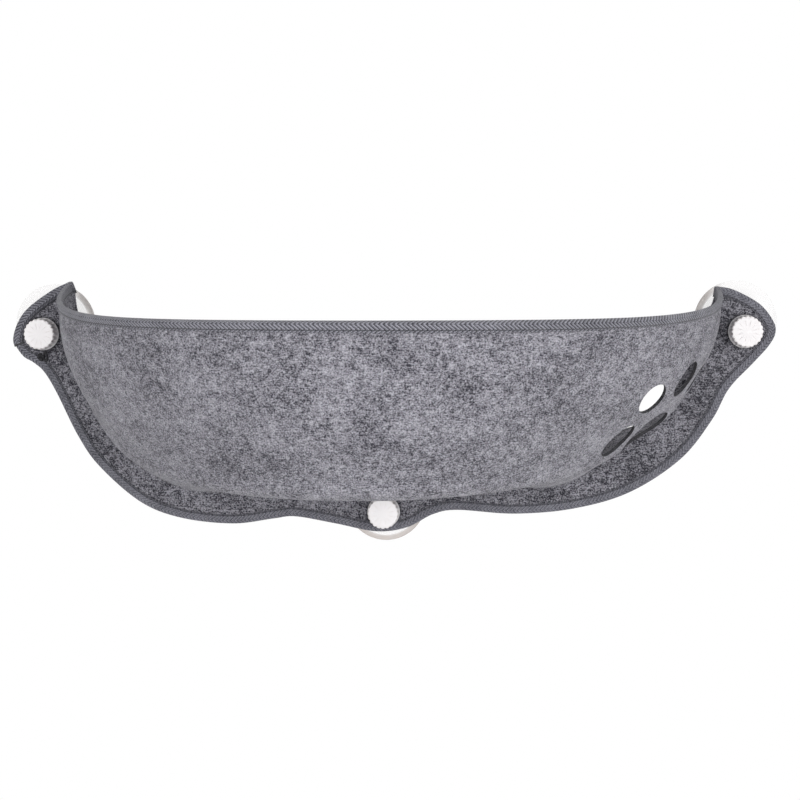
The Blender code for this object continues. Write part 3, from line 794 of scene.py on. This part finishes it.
def woven_tape(name, plain_share):
    """Herringbone tape; its plain share is how much finer and flatter its ribs are on the flange."""
    material, shader, tape = new_material(
        name, 0.85, Sheen_Weight=0.2, Sheen_Roughness=0.5, Specular_IOR_Level=0.25)
    weave_point = tape.add("ShaderNodeUVMap", {"uv_map": "weave"})
    along = tape.axis(weave_point, 0)
    from_spine = tape.axis(weave_point, 1)
    from_fold = abs(tape.axis(tape.add("ShaderNodeUVMap", {"uv_map": "fold"}), 1))
    place = tape.object_place()
    wear = tape.grain(place, WEAR_GRAIN, 3.0, 0.6)
    drift = tape.grain(place, DRIFT_GRAIN, 2.0, 0.5)
    on_flange_share = tape.axis(place, 1).between(*FLANGE_PLACE)
    plain = on_flange_share * along.between(*PLAIN_START) * plain_share
    band = from_spine.sum("PINGPONG", from_spine, RIB_BAND)
    slant = along + band * RIB_SLANT + (drift - GRAIN_MIDDLE) * RIB_WANDER
    ribs = (slant * (2 * math.pi / RIB_PITCH)).sine()
    fine_ribs = (slant * (4 * math.pi / RIB_PITCH)).sine()
    yarns = ((along - band * YARN_SLANT) * (4 * math.pi / RIB_PITCH)).sine()
    rib_strength = RIB_SHARES[0] - plain * (RIB_SHARES[0] - RIB_SHARES[1])
    fine_strength = plain * (FINE_RIB_SHARES[1] - FINE_RIB_SHARES[0]) + FINE_RIB_SHARES[0]
    weave = ribs * rib_strength + fine_ribs * fine_strength + yarns * YARN_SHARE + WEAVE_LEVEL
    weave = weave * (band.between(0.0, SPINE_WIDTH) * (1 - SPINE_SHADE) + SPINE_SHADE)
    seam_at = on_flange_share * (BINDING_WIDTH * (FLANGE_SEAM_SHARE - RIM_SEAM_SHARE))
    seam_at = seam_at + (TAPE_TURN / 2 + BINDING_WIDTH * RIM_SEAM_SHARE)
    from_seam = abs(from_fold - seam_at)
    groove = from_seam.between(*GROOVE)
    tape_edge = TAPE_TURN / 2 + BINDING_WIDTH
    # A painted shadow line along the tape's inner edge.
    edge_shadow = 1 - from_fold.between(tape_edge - EDGE_SHADOW[0], tape_edge - EDGE_SHADOW[1])
    needle = ((along * (2 * math.pi / STITCH_PITCH)).sine()).between(*NEEDLE_RANGE)
    pierced = 1 - needle * (1 - from_seam.between(*PIERCED))
    mix = weave + (wear - GRAIN_MIDDLE) * WEAR_SHARE + (drift - GRAIN_MIDDLE) * DRIFT_SHARE
    # Painted shade in the seam's groove and its needle holes, and the painted shadow along the tape's inner
    # edge.
    mix = mix * (groove * (1 - SEAM_GROOVE_PAINTED_SHADE) + SEAM_GROOVE_PAINTED_SHADE)
    mix = mix * (pierced * (1 - LINE_PAINTED_SHADE) + LINE_PAINTED_SHADE) * (edge_shadow * (1 - LINE_PAINTED_SHADE) + LINE_PAINTED_SHADE)
    # Painted shade: the tape is darker along the flange.
    mix = (mix * (1 - on_flange_share * (1 - TAPE_FLANGE_PAINTED_SHADE))).highest(0.0).lowest(1.0)
    feed(shader, "Base Color", tape.blend(mix, coloured(TAPE_DARK), coloured(TAPE_LIGHT)))
    height = weave * 0.7 + groove * 0.5 + pierced * 0.4 + wear * 0.3
    feed(shader, "Normal", tape.relief(height, 0.9, TAPE_RELIEF))
    return material


tape_material = woven_tape("grey_herringbone_tape", 1.0)
lap_material = woven_tape("grey_herringbone_lap", 0.0)

stations = ring_reach
paths = [tape_path(*point) for point in ring + ring[:1]]
bm, tape_width = folded_tape(stations, paths, ring_spine)
bmesh.ops.remove_doubles(bm, verts=bm.verts, dist=GAP / 10)
bmesh.ops.recalc_face_normals(bm, faces=bm.faces)
binding = add_piece("herringbone_tape", bm, tape_material)
thicken(binding, TAPE)
baked(binding)
soft_shade(binding)
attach(binding, "bed")
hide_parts("edge_binding")

# The lapped end: the tape's last stretch lies over its first on the left ear. Its cut end is coloured near
# black: it is singed, and the colour also paints the shadow at its raw edge.
singed_shadow_material, singed_shadow_shader, singed_shadow = new_material("singed_and_shaded_tape_end", 0.7)
crust = singed_shadow.grain(singed_shadow.object_place(), SINGED_SHADOW_GRAIN, 3.0, 0.6)
feed(singed_shadow_shader, "Base Color", singed_shadow.blend(crust, coloured(SINGED_AND_SHADOW, 0.5), coloured(SINGED_AND_SHADOW, 2.2)))
lap_steps = round((LAP_END - LAP_START) / LAP_STEP)
stations = [LAP_START + (LAP_END - LAP_START) * n / lap_steps for n in range(lap_steps + 1)]
paths = []
for reach in stations:
    climb = min((reach - LAP_START) / LAP_CLIMB, 1.0)
    raised = LAP_LIFT * (LAP_LOW_SHARE + (1 - LAP_LOW_SHARE) * climb)
    paths.append(tape_path(*on_ring(reach), raised=raised))
run_out = (paths[-1][0] - paths[-2][0]).normalized()
for row, point in enumerate(paths[-1]):
    point += run_out * FRAY * noise.noise((row * FRAY_STEP, *FRAY_PLACE))
bm, _ = folded_tape(stations, paths, lambda reach: SPINE_DROP)
bmesh.ops.recalc_face_normals(bm, faces=bm.faces)
cut_at = stations[-2] - LAP_STEP / 2
fold_map = bm.loops.layers.uv["fold"]
for face in bm.faces:
    if min(loop[fold_map].uv.x for loop in face.loops) > cut_at:
        face.material_index = 1
lapped_end = add_piece("lapped_tape_end", bm, lap_material)
lapped_end.data.materials.append(singed_shadow_material)
thicken(lapped_end, TAPE)
baked(lapped_end)
soft_shade(lapped_end)
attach(lapped_end, "bed")

# Stitches: one lockstitch row through both faces of the tape, in grey polyester thread.
thread_material, thread_shader, thread = new_material("grey_polyester_thread", 0.6, Sheen_Weight=0.1)
twist = thread.grain(thread.object_place(), TWIST_GRAIN, 2.0, 0.5)
feed(thread_shader, "Base Color", thread.blend(
    twist.between(0.3, 0.7), coloured(THREAD_COLOUR, 0.5), coloured(THREAD_COLOUR, 1.6)))
feed(thread_shader, "Normal", thread.relief(twist, 0.4, TWIST_RELIEF))


def seam_point(reach, side):
    (edge_co, edge_normal), (inside_co, inside_normal) = on_ring(reach)
    seam_share = FLANGE_SEAM_SHARE + (RIM_SEAM_SHARE - FLANGE_SEAM_SHARE) * rim_share(reach)
    normal = edge_normal.lerp(inside_normal, seam_share).normalized() * side
    raised = LAP_LIFT if reach < LAP_END else 0.0
    return edge_co.lerp(inside_co, seam_share) + normal * (FELT / 2 + GAP + TAPE + raised), normal


def stamped(bm, places):
    """The bmesh's one shape, copied to each of the places."""
    shape = [vertex.co.copy() for vertex in bm.verts]
    corners, rims, sides = len(bm.verts), len(bm.edges), len(bm.faces)
    copies = 1
    while copies < len(places):
        more = min(copies, len(places) - copies)
        bmesh.ops.duplicate(
            bm, geom=bm.verts[:more * corners] + bm.edges[:more * rims] + bm.faces[:more * sides])
        copies += more
    for index, vertex in enumerate(bm.verts):
        vertex.co = places[index // corners] @ shape[index % corners]
    return bm


places = []
for side in (-1, 1):
    for number in range(int(tape_length / STITCH_PITCH)):
        reach = (number + STITCH_PHASE) * STITCH_PITCH
        start, normal = seam_point(reach - STITCH_LENGTH / 2, side)
        end, _ = seam_point(reach + STITCH_LENGTH / 2, side)
        run = (end - start).normalized()
        up = (normal - run * normal.dot(run)).normalized()
        turn = Matrix((run, up.cross(run), up)).transposed().to_4x4()
        size = Matrix.Diagonal((STITCH_LENGTH / 2, STITCH_WIDTH / 2, STITCH_HEIGHT / 2, 1.0))
        places.append(Matrix.Translation(start.lerp(end, 0.5)) @ turn @ size)
bm = bmesh.new()
lying = Matrix.Rotation(math.pi / 2, 4, "Y")
bmesh.ops.create_uvsphere(bm, u_segments=6, v_segments=6, radius=1.0, matrix=lying)
stitches = add_piece("binding_stitches", stamped(bm, places), thread_material)
stitches.data.shade_smooth()
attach(stitches, "bed")

# Knot: the thread's end, tied off in a black tangle under the left knob, with one loose loop.
knot_material, knot_shader, knot = new_material("black_thread_end", 0.75)
strands = knot.grain(knot.object_place(), KNOT_GRAIN, 2.0, 0.5)
feed(knot_shader, "Base Color", knot.blend(strands, coloured(KNOT_COLOUR, 0.4), coloured(KNOT_COLOUR, 2.0)))


def thread_loop(bm, half_width, half_height, place):
    """A closed loop of thread, round or drawn out along its Y."""
    old = set(bm.verts)
    bmesh.ops.create_circle(
        bm, segments=8, radius=KNOT_THREAD,
        matrix=Matrix.Translation((half_width, 0, 0)) @ Matrix.Rotation(math.pi / 2, 4, "X"))
    profile = [vertex for vertex in bm.verts if vertex not in old]
    rims = list({edge for vertex in profile for edge in vertex.link_edges})
    bmesh.ops.spin(
        bm, geom=profile + rims, cent=(0, 0, 0), axis=(0, 0, 1), angle=2 * math.pi, steps=24, use_merge=True)
    bmesh.ops.remove_doubles(bm, verts=[v for v in bm.verts if v not in old], dist=GAP / 100)
    loop = [vertex for vertex in bm.verts if vertex not in old]
    for vertex in loop:
        vertex.co.y += (half_height - half_width) * max(-1.0, min(1.0, vertex.co.y / half_width))
    bmesh.ops.transform(bm, matrix=place, verts=loop)


bm = bmesh.new()
knot_front = STAND_OFF + FELT / 2 + GAP + TAPE + KNOT_THREAD
middle = Matrix.Translation((KNOT_PLACE[0], -knot_front, KNOT_PLACE[1])) @ FORWARD
for number, (share, roll, tilt) in enumerate(KNOT_TURNS):
    turn = Matrix.Rotation(math.radians(roll), 4, "Z") @ Matrix.Rotation(math.radians(tilt), 4, "X")
    raised = Matrix.Translation((0, 0, KNOT_THREAD * (KNOT_PILE[0] + KNOT_PILE[1] * number)))
    thread_loop(bm, KNOT_SIZE[0] * share * KNOT_NARROWING, KNOT_SIZE[1] * share, middle @ raised @ turn)
loop_middle = Matrix.Translation((LOOP_PLACE[0], -knot_front - KNOT_THREAD, LOOP_PLACE[1])) @ FORWARD
thread_loop(bm, *LOOP_SIZE, loop_middle @ Matrix.Rotation(math.radians(LOOP_ROLL), 4, "Z"))
bmesh.ops.recalc_face_normals(bm, faces=bm.faces)
thread_end = add_piece("black_thread_knot", bm, knot_material)
thread_end.data.shade_smooth()
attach(thread_end, "bed")


# Suction cups
# Each is one moulding of soft clear vinyl: a bell with a flat lip on the glass, a neck and a boss
# that holds the stud's root. The hanging weight draws each boss a little below its bell.
CUP_RADIUS = 0.037
CUP_LIP = 0.006
CUP_LIP_EDGE = 0.0012
CUP_CHAMBER = 0.0052
CUP_SHOULDER = 0.0125
CUP_NECK_RADIUS = 0.0105
BOSS_RADIUS = 0.0125
BOSS_HEIGHT = 0.0075
UPPER_DROOP = 0.0085
LOWER_DROOP = 0.0063
UPPER_SPREAD = 0.003
STUD_ROOT_RADIUS = 0.006
STUD_ROOT_LENGTH = 0.007
COLLAR_RADIUS = 0.0115
COLLAR = 0.0015
VINYL = (0.93, 0.905, 0.905)
# Painted shade on the cups' lips toward the bed's middle: its colour, and the distances from the middle over
# which it fades out
LIP_PAINTED_SHADE = (0.62, 0.56, 0.53)
LIP_SHADE_SIDE = (0.285, 0.300)
BELL_CLARITY = 0.82
LIP_CLARITY = 0.30
HAZE_GRAIN = 90.0
HAZE_SHARE = 0.08
CUP_ROUNDING = 0.0004
CUP_FLARE = 1.6
BELL_STEPS = 14
CHAMBER_STEPS = 8
ROUNDING_LIMIT = 0.45
TURNING_STEPS = 96


def rounded(profile, radius, steps=3):
    """The profile with its corners rounded, apart from its two ends."""
    points = [Vector(profile[0])]
    for before, corner, after in zip(profile, profile[1:], profile[2:]):
        before, corner, after = Vector(before), Vector(corner), Vector(after)
        lead = min(radius, ROUNDING_LIMIT * (before - corner).length)
        trail = min(radius, ROUNDING_LIMIT * (after - corner).length)
        start = corner + (before - corner).normalized() * lead
        end = corner + (after - corner).normalized() * trail
        for step in range(steps + 1):
            s = step / steps
            points.append(start.lerp(corner, s).lerp(corner.lerp(end, s), s))
    points.append(Vector(profile[-1]))
    return points


def turned(profile, steps=TURNING_STEPS, closed=False):
    """A bmesh of a profile of (radius, height) pairs turned about its own Z axis."""
    bm = bmesh.new()
    row = [bm.verts.new((radius, 0, height)) for radius, height in profile]
    edges = [bm.edges.new(pair) for pair in zip(row, row[1:])]
    if closed:
        edges.append(bm.edges.new((row[-1], row[0])))
    bmesh.ops.spin(
        bm, geom=row + edges, cent=(0, 0, 0), axis=(0, 0, 1), angle=2 * math.pi, steps=steps, use_merge=True)
    bmesh.ops.remove_doubles(bm, verts=bm.verts, dist=GAP / 100)
    bmesh.ops.recalc_face_normals(bm, faces=bm.faces)
    return bm


def stand(bm, side, height=0.0):
    """Puts a piece that was made along +Z on its stud's axis, facing away from the glass."""
    x, z = STUD_PLACES[side]
    bmesh.ops.transform(bm, matrix=Matrix.Translation((x, -height, z)) @ FORWARD, verts=bm.verts)


def clamped(side):
    """From the middle of the felt to what a collar or washer lies on."""
    return FELT / 2 + GAP + (TAPE + GAP if side == "lower" else 0.0)


def boss_front(side):
    return STAND_OFF - clamped(side) - COLLAR - GAP


vinyl_material, vinyl_shader, vinyl = new_material("clear_soft_vinyl", 0.15, IOR=1.38, Coat_Weight=0.2)
haze = vinyl.grain(vinyl.object_place(), HAZE_GRAIN, 3.0, 0.5)
# The lip's share of painted shade, darker toward the bed's middle; it also makes the lip less clear.
lip_shade_share = vinyl.add("ShaderNodeAttribute", {"attribute_name": "lip"}, output=2)
vinyl_clear = vinyl.blend(haze.between(0.3, 0.7), coloured(VINYL, 0.96), coloured(VINYL, 1.03))
feed(vinyl_shader, "Base Color", vinyl.blend(lip_shade_share, vinyl_clear, coloured(LIP_PAINTED_SHADE)))
lip_solid = lip_shade_share * (BELL_CLARITY - LIP_CLARITY)
feed(vinyl_shader, "Alpha", 1 - BELL_CLARITY + lip_solid + (haze - GRAIN_MIDDLE) * HAZE_SHARE)
feed(vinyl_shader, "Roughness", haze * 0.12 + 0.10)

for side in STUD_PLACES:
    front = boss_front(side)
    boss_back = front - BOSS_HEIGHT
    pocket = front - STUD_ROOT_LENGTH - GAP
    bell = CUP_RADIUS - CUP_LIP
    flare = CUP_RADIUS - CUP_NECK_RADIUS
    fall = CUP_SHOULDER - CUP_LIP_EDGE
    profile = [
        (0, pocket), (STUD_ROOT_RADIUS + GAP, pocket), (STUD_ROOT_RADIUS + GAP, front), (BOSS_RADIUS, front),
        (BOSS_RADIUS, boss_back), (CUP_NECK_RADIUS, boss_back - GAP), (CUP_NECK_RADIUS, CUP_SHOULDER),
    ]
    for step in range(1, BELL_STEPS + 1):
        share = step / BELL_STEPS
        profile.append((CUP_NECK_RADIUS + flare * share, CUP_LIP_EDGE + fall * (1 - share) ** CUP_FLARE))
    profile += [(CUP_RADIUS, 0), (bell, 0)]
    for step in range(1, CHAMBER_STEPS):
        share = 1 - step / CHAMBER_STEPS
        profile.append((bell * share, CUP_CHAMBER * (1 - share ** 2)))
    profile.append((0, CUP_CHAMBER))
    bm = turned(rounded(profile, CUP_ROUNDING))
    droop = LOWER_DROOP if side == "lower" else UPPER_DROOP
    spread = {"left": UPPER_SPREAD, "right": -UPPER_SPREAD, "lower": 0.0}[side]
    lip = bm.verts.layers.float.new("lip")
    lip_ring = {v for v in bm.verts if math.hypot(v.co.x, v.co.y) > bell + CUP_LIP_EDGE}
    for vertex in bm.verts:
        soft = 1 - min(max(vertex.co.z, 0.0) / boss_back, 1.0)
        vertex.co.x += spread * soft ** 0.5
        vertex.co.y += droop * soft ** 0.5
    stand(bm, side)
    # The lip's share of painted shade: full toward the bed's middle, none beyond it.
    for vertex in bm.verts:
        inward = LIP_SHADE_SIDE[1] - abs(vertex.co.x)
        vertex[lip] = min(max(inward / (LIP_SHADE_SIDE[1] - LIP_SHADE_SIDE[0]), 0.0), 1.0) * (vertex in lip_ring)
    cup = add_piece("vinyl_cup_" + side, bm, vinyl_material)
    soft_shade(cup, TURNED_ANGLE)
    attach(cup, "bed")
    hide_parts("suction_cup_" + side)


# Studs
# Each is a white moulded screw: its root sits in the cup's boss, its collar backs the felt and its
# thread, 2.5 mm a turn, carries the thumb nut.
THREAD_CORE = 0.0034
THREAD_PITCH = 0.0025
THREAD_ENGAGED = 0.0078
WASHER = 0.0022
STUD_CHAMFER = 0.0008
STUD_ROUNDING = 0.0003
STUD_STEPS = 48
# how far the thread starts from the collar and ends from the stud's end
THREAD_MARGINS = (0.0006, 0.0009)
THREAD_FOOT_SHARE = 0.36
THREAD_CREST_SHARE = 0.25
THREAD_RUN_SHARE = 0.86
THREAD_SINK = 0.0002
THREAD_STEPS = 36
PLASTIC = (0.87, 0.845, 0.852)
# Painted shade in the knobs' scallop valleys and petal lines
KNOB_GROOVE_PAINTED_SHADE = (0.81, 0.76, 0.74)
FLOW_GRAIN = 45.0
PORE_GRAIN = 1500.0
PORE_RELIEF = 0.0001

plastic_material, plastic_shader, plastic = new_material("white_moulded_plastic", 0.32)
flow = plastic.grain(plastic.object_place(), FLOW_GRAIN, 3.0, 0.5)
pores = plastic.grain(plastic.object_place(), PORE_GRAIN, 2.0, 0.5)
groove_shade_share = plastic.add("ShaderNodeAttribute", {"attribute_name": "groove"}, output=2)
plain_colour = plastic.blend(flow.between(0.3, 0.7), coloured(PLASTIC, 0.97), coloured(PLASTIC, 1.02))
# Painted shade: the knobs' scallop valleys and petal lines are coloured darker.
feed(plastic_shader, "Base Color", plastic.blend(groove_shade_share, plain_colour, coloured(KNOB_GROOVE_PAINTED_SHADE)))
feed(plastic_shader, "Roughness", flow * 0.16 + pores * 0.10 + 0.20)
feed(plastic_shader, "Normal", plastic.relief(pores, 0.10, PORE_RELIEF))

for side in STUD_PLACES:
    collar_back = STAND_OFF - clamped(side) - COLLAR
    knob_back = STAND_OFF + clamped(side) + WASHER + GAP
    stud_front = knob_back + THREAD_ENGAGED
    root_back = collar_back - STUD_ROOT_LENGTH
    profile = [
        (0, stud_front), (THREAD_CORE - STUD_CHAMFER, stud_front), (THREAD_CORE, stud_front - STUD_CHAMFER),
        (THREAD_CORE, collar_back + COLLAR), (COLLAR_RADIUS, collar_back + COLLAR),
        (COLLAR_RADIUS, collar_back), (STUD_ROOT_RADIUS, collar_back), (STUD_ROOT_RADIUS, root_back),
        (0, root_back),
    ]
    bm = turned(rounded(profile, STUD_ROUNDING), STUD_STEPS)
    thread_start = collar_back + COLLAR + THREAD_MARGINS[0]
    turns = (stud_front - THREAD_MARGINS[1] - thread_start) / THREAD_PITCH
    steps = round(THREAD_STEPS * turns)
    foot = THREAD_PITCH * THREAD_FOOT_SHARE
    crest = [
        bm.verts.new((radius, 0, thread_start + foot * (1 + share))) for radius, share in (
            (THREAD_CORE - THREAD_SINK, -1), (STUD_RADIUS, -THREAD_CREST_SHARE),
            (STUD_RADIUS, THREAD_CREST_SHARE), (THREAD_CORE - THREAD_SINK, 1))]
    turns *= THREAD_RUN_SHARE
    rise = THREAD_PITCH * turns / steps
    bmesh.ops.spin(
        bm, geom=[bm.faces.new(crest)], cent=(0, 0, 0), axis=(0, 0, 1), dvec=(0, 0, rise),
        angle=2 * math.pi * turns, steps=steps, use_duplicate=False)
    bmesh.ops.recalc_face_normals(bm, faces=bm.faces)
    stand(bm, side)
    screw = add_piece("threaded_stud_" + side, bm, plastic_material)
    soft_shade(screw, EDGED_ANGLE)
    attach(screw, "bed")
    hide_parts("stud_" + side)


# Clamp washers
# Each is a thin white ring between the felt and its thumb nut; it shows as a smooth rim round it.
WASHER_RADIUS = 0.0146
WASHER_ROUNDING = 0.0007
WASHER_ROUNDING_STEPS = 4

for side in STUD_PLACES:
    bore = STUD_RADIUS + GAP
    profile = [
        (bore, WASHER / 2), (bore, WASHER), (WASHER_RADIUS, WASHER), (WASHER_RADIUS, 0), (bore, 0),
        (bore, WASHER / 2),
    ]
    bm = turned(rounded(profile, WASHER_ROUNDING, WASHER_ROUNDING_STEPS))
    stand(bm, side, STAND_OFF + clamped(side))
    ring_piece = add_piece("washer_ring_" + side, bm, plastic_material)
    soft_shade(ring_piece, EDGED_ANGLE)
    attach(ring_piece, "washer_" + side)
    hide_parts("clamp_washer_" + side)


# Knobs
# Each is a white moulded thumb nut with twenty rounded scallops round its grip, shallow petals
# pressed into its face and a low boss in the middle.
KNOB_RADIUS = 0.0142
KNOB_HEIGHT = 0.0112
KNOB_EDGE = 0.0016
KNOB_DOME = 0.0005
KNOB_ROOF = 0.0030
SCALLOPS = 20
SCALLOP_DEPTH = 0.0011
SCALLOP_CURVE = 0.8
PETALS = 12
PETAL_DEPTH = 0.00035
PETAL_PAINTED_SHADE = 0.55
PETAL_RING = 0.0078
PETAL_SPREAD = 0.0028
PETAL_SHARPNESS = 6
HUB_RADIUS = 0.0026
HUB_HEIGHT = 0.00025
KNOB_FOOT = 0.0004
KNOB_DRAFT = 0.0003
GRIP_START = 0.0006
GRIP_BASE = 0.0012
GRIP_FADE = 6
BORE_MARGIN = 0.0005
FACE_MARGIN = 0.0001
EDGE_STEPS = 6
FACE_STEPS = 12
KNOB_STEPS = 240

for side in STUD_PLACES:
    bore = STUD_RADIUS + GAP
    side_top = KNOB_HEIGHT - KNOB_EDGE
    profile = [
        (0, KNOB_HEIGHT - KNOB_ROOF), (bore, KNOB_HEIGHT - KNOB_ROOF), (bore, 0),
        (KNOB_RADIUS - KNOB_FOOT, 0), (KNOB_RADIUS, KNOB_FOOT), (KNOB_RADIUS, GRIP_BASE),
        (KNOB_RADIUS - KNOB_DRAFT / 3, GRIP_BASE + GRIP_START),
        (KNOB_RADIUS - KNOB_DRAFT * 2 / 3, side_top / 2), (KNOB_RADIUS - KNOB_DRAFT, side_top),
    ]
    for step in range(1, EDGE_STEPS + 1):
        turn = math.pi / 2 * step / EDGE_STEPS
        inset = KNOB_DRAFT + KNOB_EDGE * (1 - math.cos(turn))
        profile.append((KNOB_RADIUS - inset, side_top + KNOB_EDGE * math.sin(turn)))
    rim_radius = profile[-1][0]
    for step in range(1, FACE_STEPS + 1):
        share = 1 - step / FACE_STEPS
        profile.append((rim_radius * share, KNOB_HEIGHT + KNOB_DOME * (1 - share ** 2)))
    bm = turned(profile, KNOB_STEPS)
    # Share of painted shade in the scallop valleys and in the face's petal lines.
    groove = bm.verts.layers.float.new("groove")
    for vertex in bm.verts:
        radius = math.hypot(vertex.co.x, vertex.co.y)
        if radius < bore + BORE_MARGIN and vertex.co.z < KNOB_HEIGHT - KNOB_ROOF + BORE_MARGIN:
            continue
        turn = math.atan2(vertex.co.y, vertex.co.x)
        valley = 1 - abs(math.cos(turn * SCALLOPS / 2)) ** SCALLOP_CURVE
        above_foot = min(max((vertex.co.z - GRIP_START) / GRIP_BASE, 0.0), 1.0)
        grip = above_foot * min(radius / KNOB_RADIUS, 1.0) ** GRIP_FADE
        scale = (radius - SCALLOP_DEPTH * valley * grip) / radius if radius > 0 else 1.0
        vertex.co.x *= scale
        vertex.co.y *= scale
        if vertex.co.z > KNOB_HEIGHT - FACE_MARGIN:
            petal = math.exp(-((radius - PETAL_RING) / PETAL_SPREAD) ** 2)
            hub = math.exp(-(radius / HUB_RADIUS) ** 4)
            line = (1 - abs(math.cos(turn * PETALS / 2))) ** PETAL_SHARPNESS
            vertex.co.z += -PETAL_DEPTH * petal * line + HUB_HEIGHT * hub
            vertex[groove] = PETAL_PAINTED_SHADE * petal * line
        else:
            vertex[groove] = valley ** 0.5 * grip
    stand(bm, side, STAND_OFF + clamped(side) + WASHER + GAP)
    nut = add_piece("scalloped_nut_" + side, bm, plastic_material)
    soft_shade(nut, TURNED_ANGLE)
    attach(nut, "nut_" + side)
    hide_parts("knob_" + side)
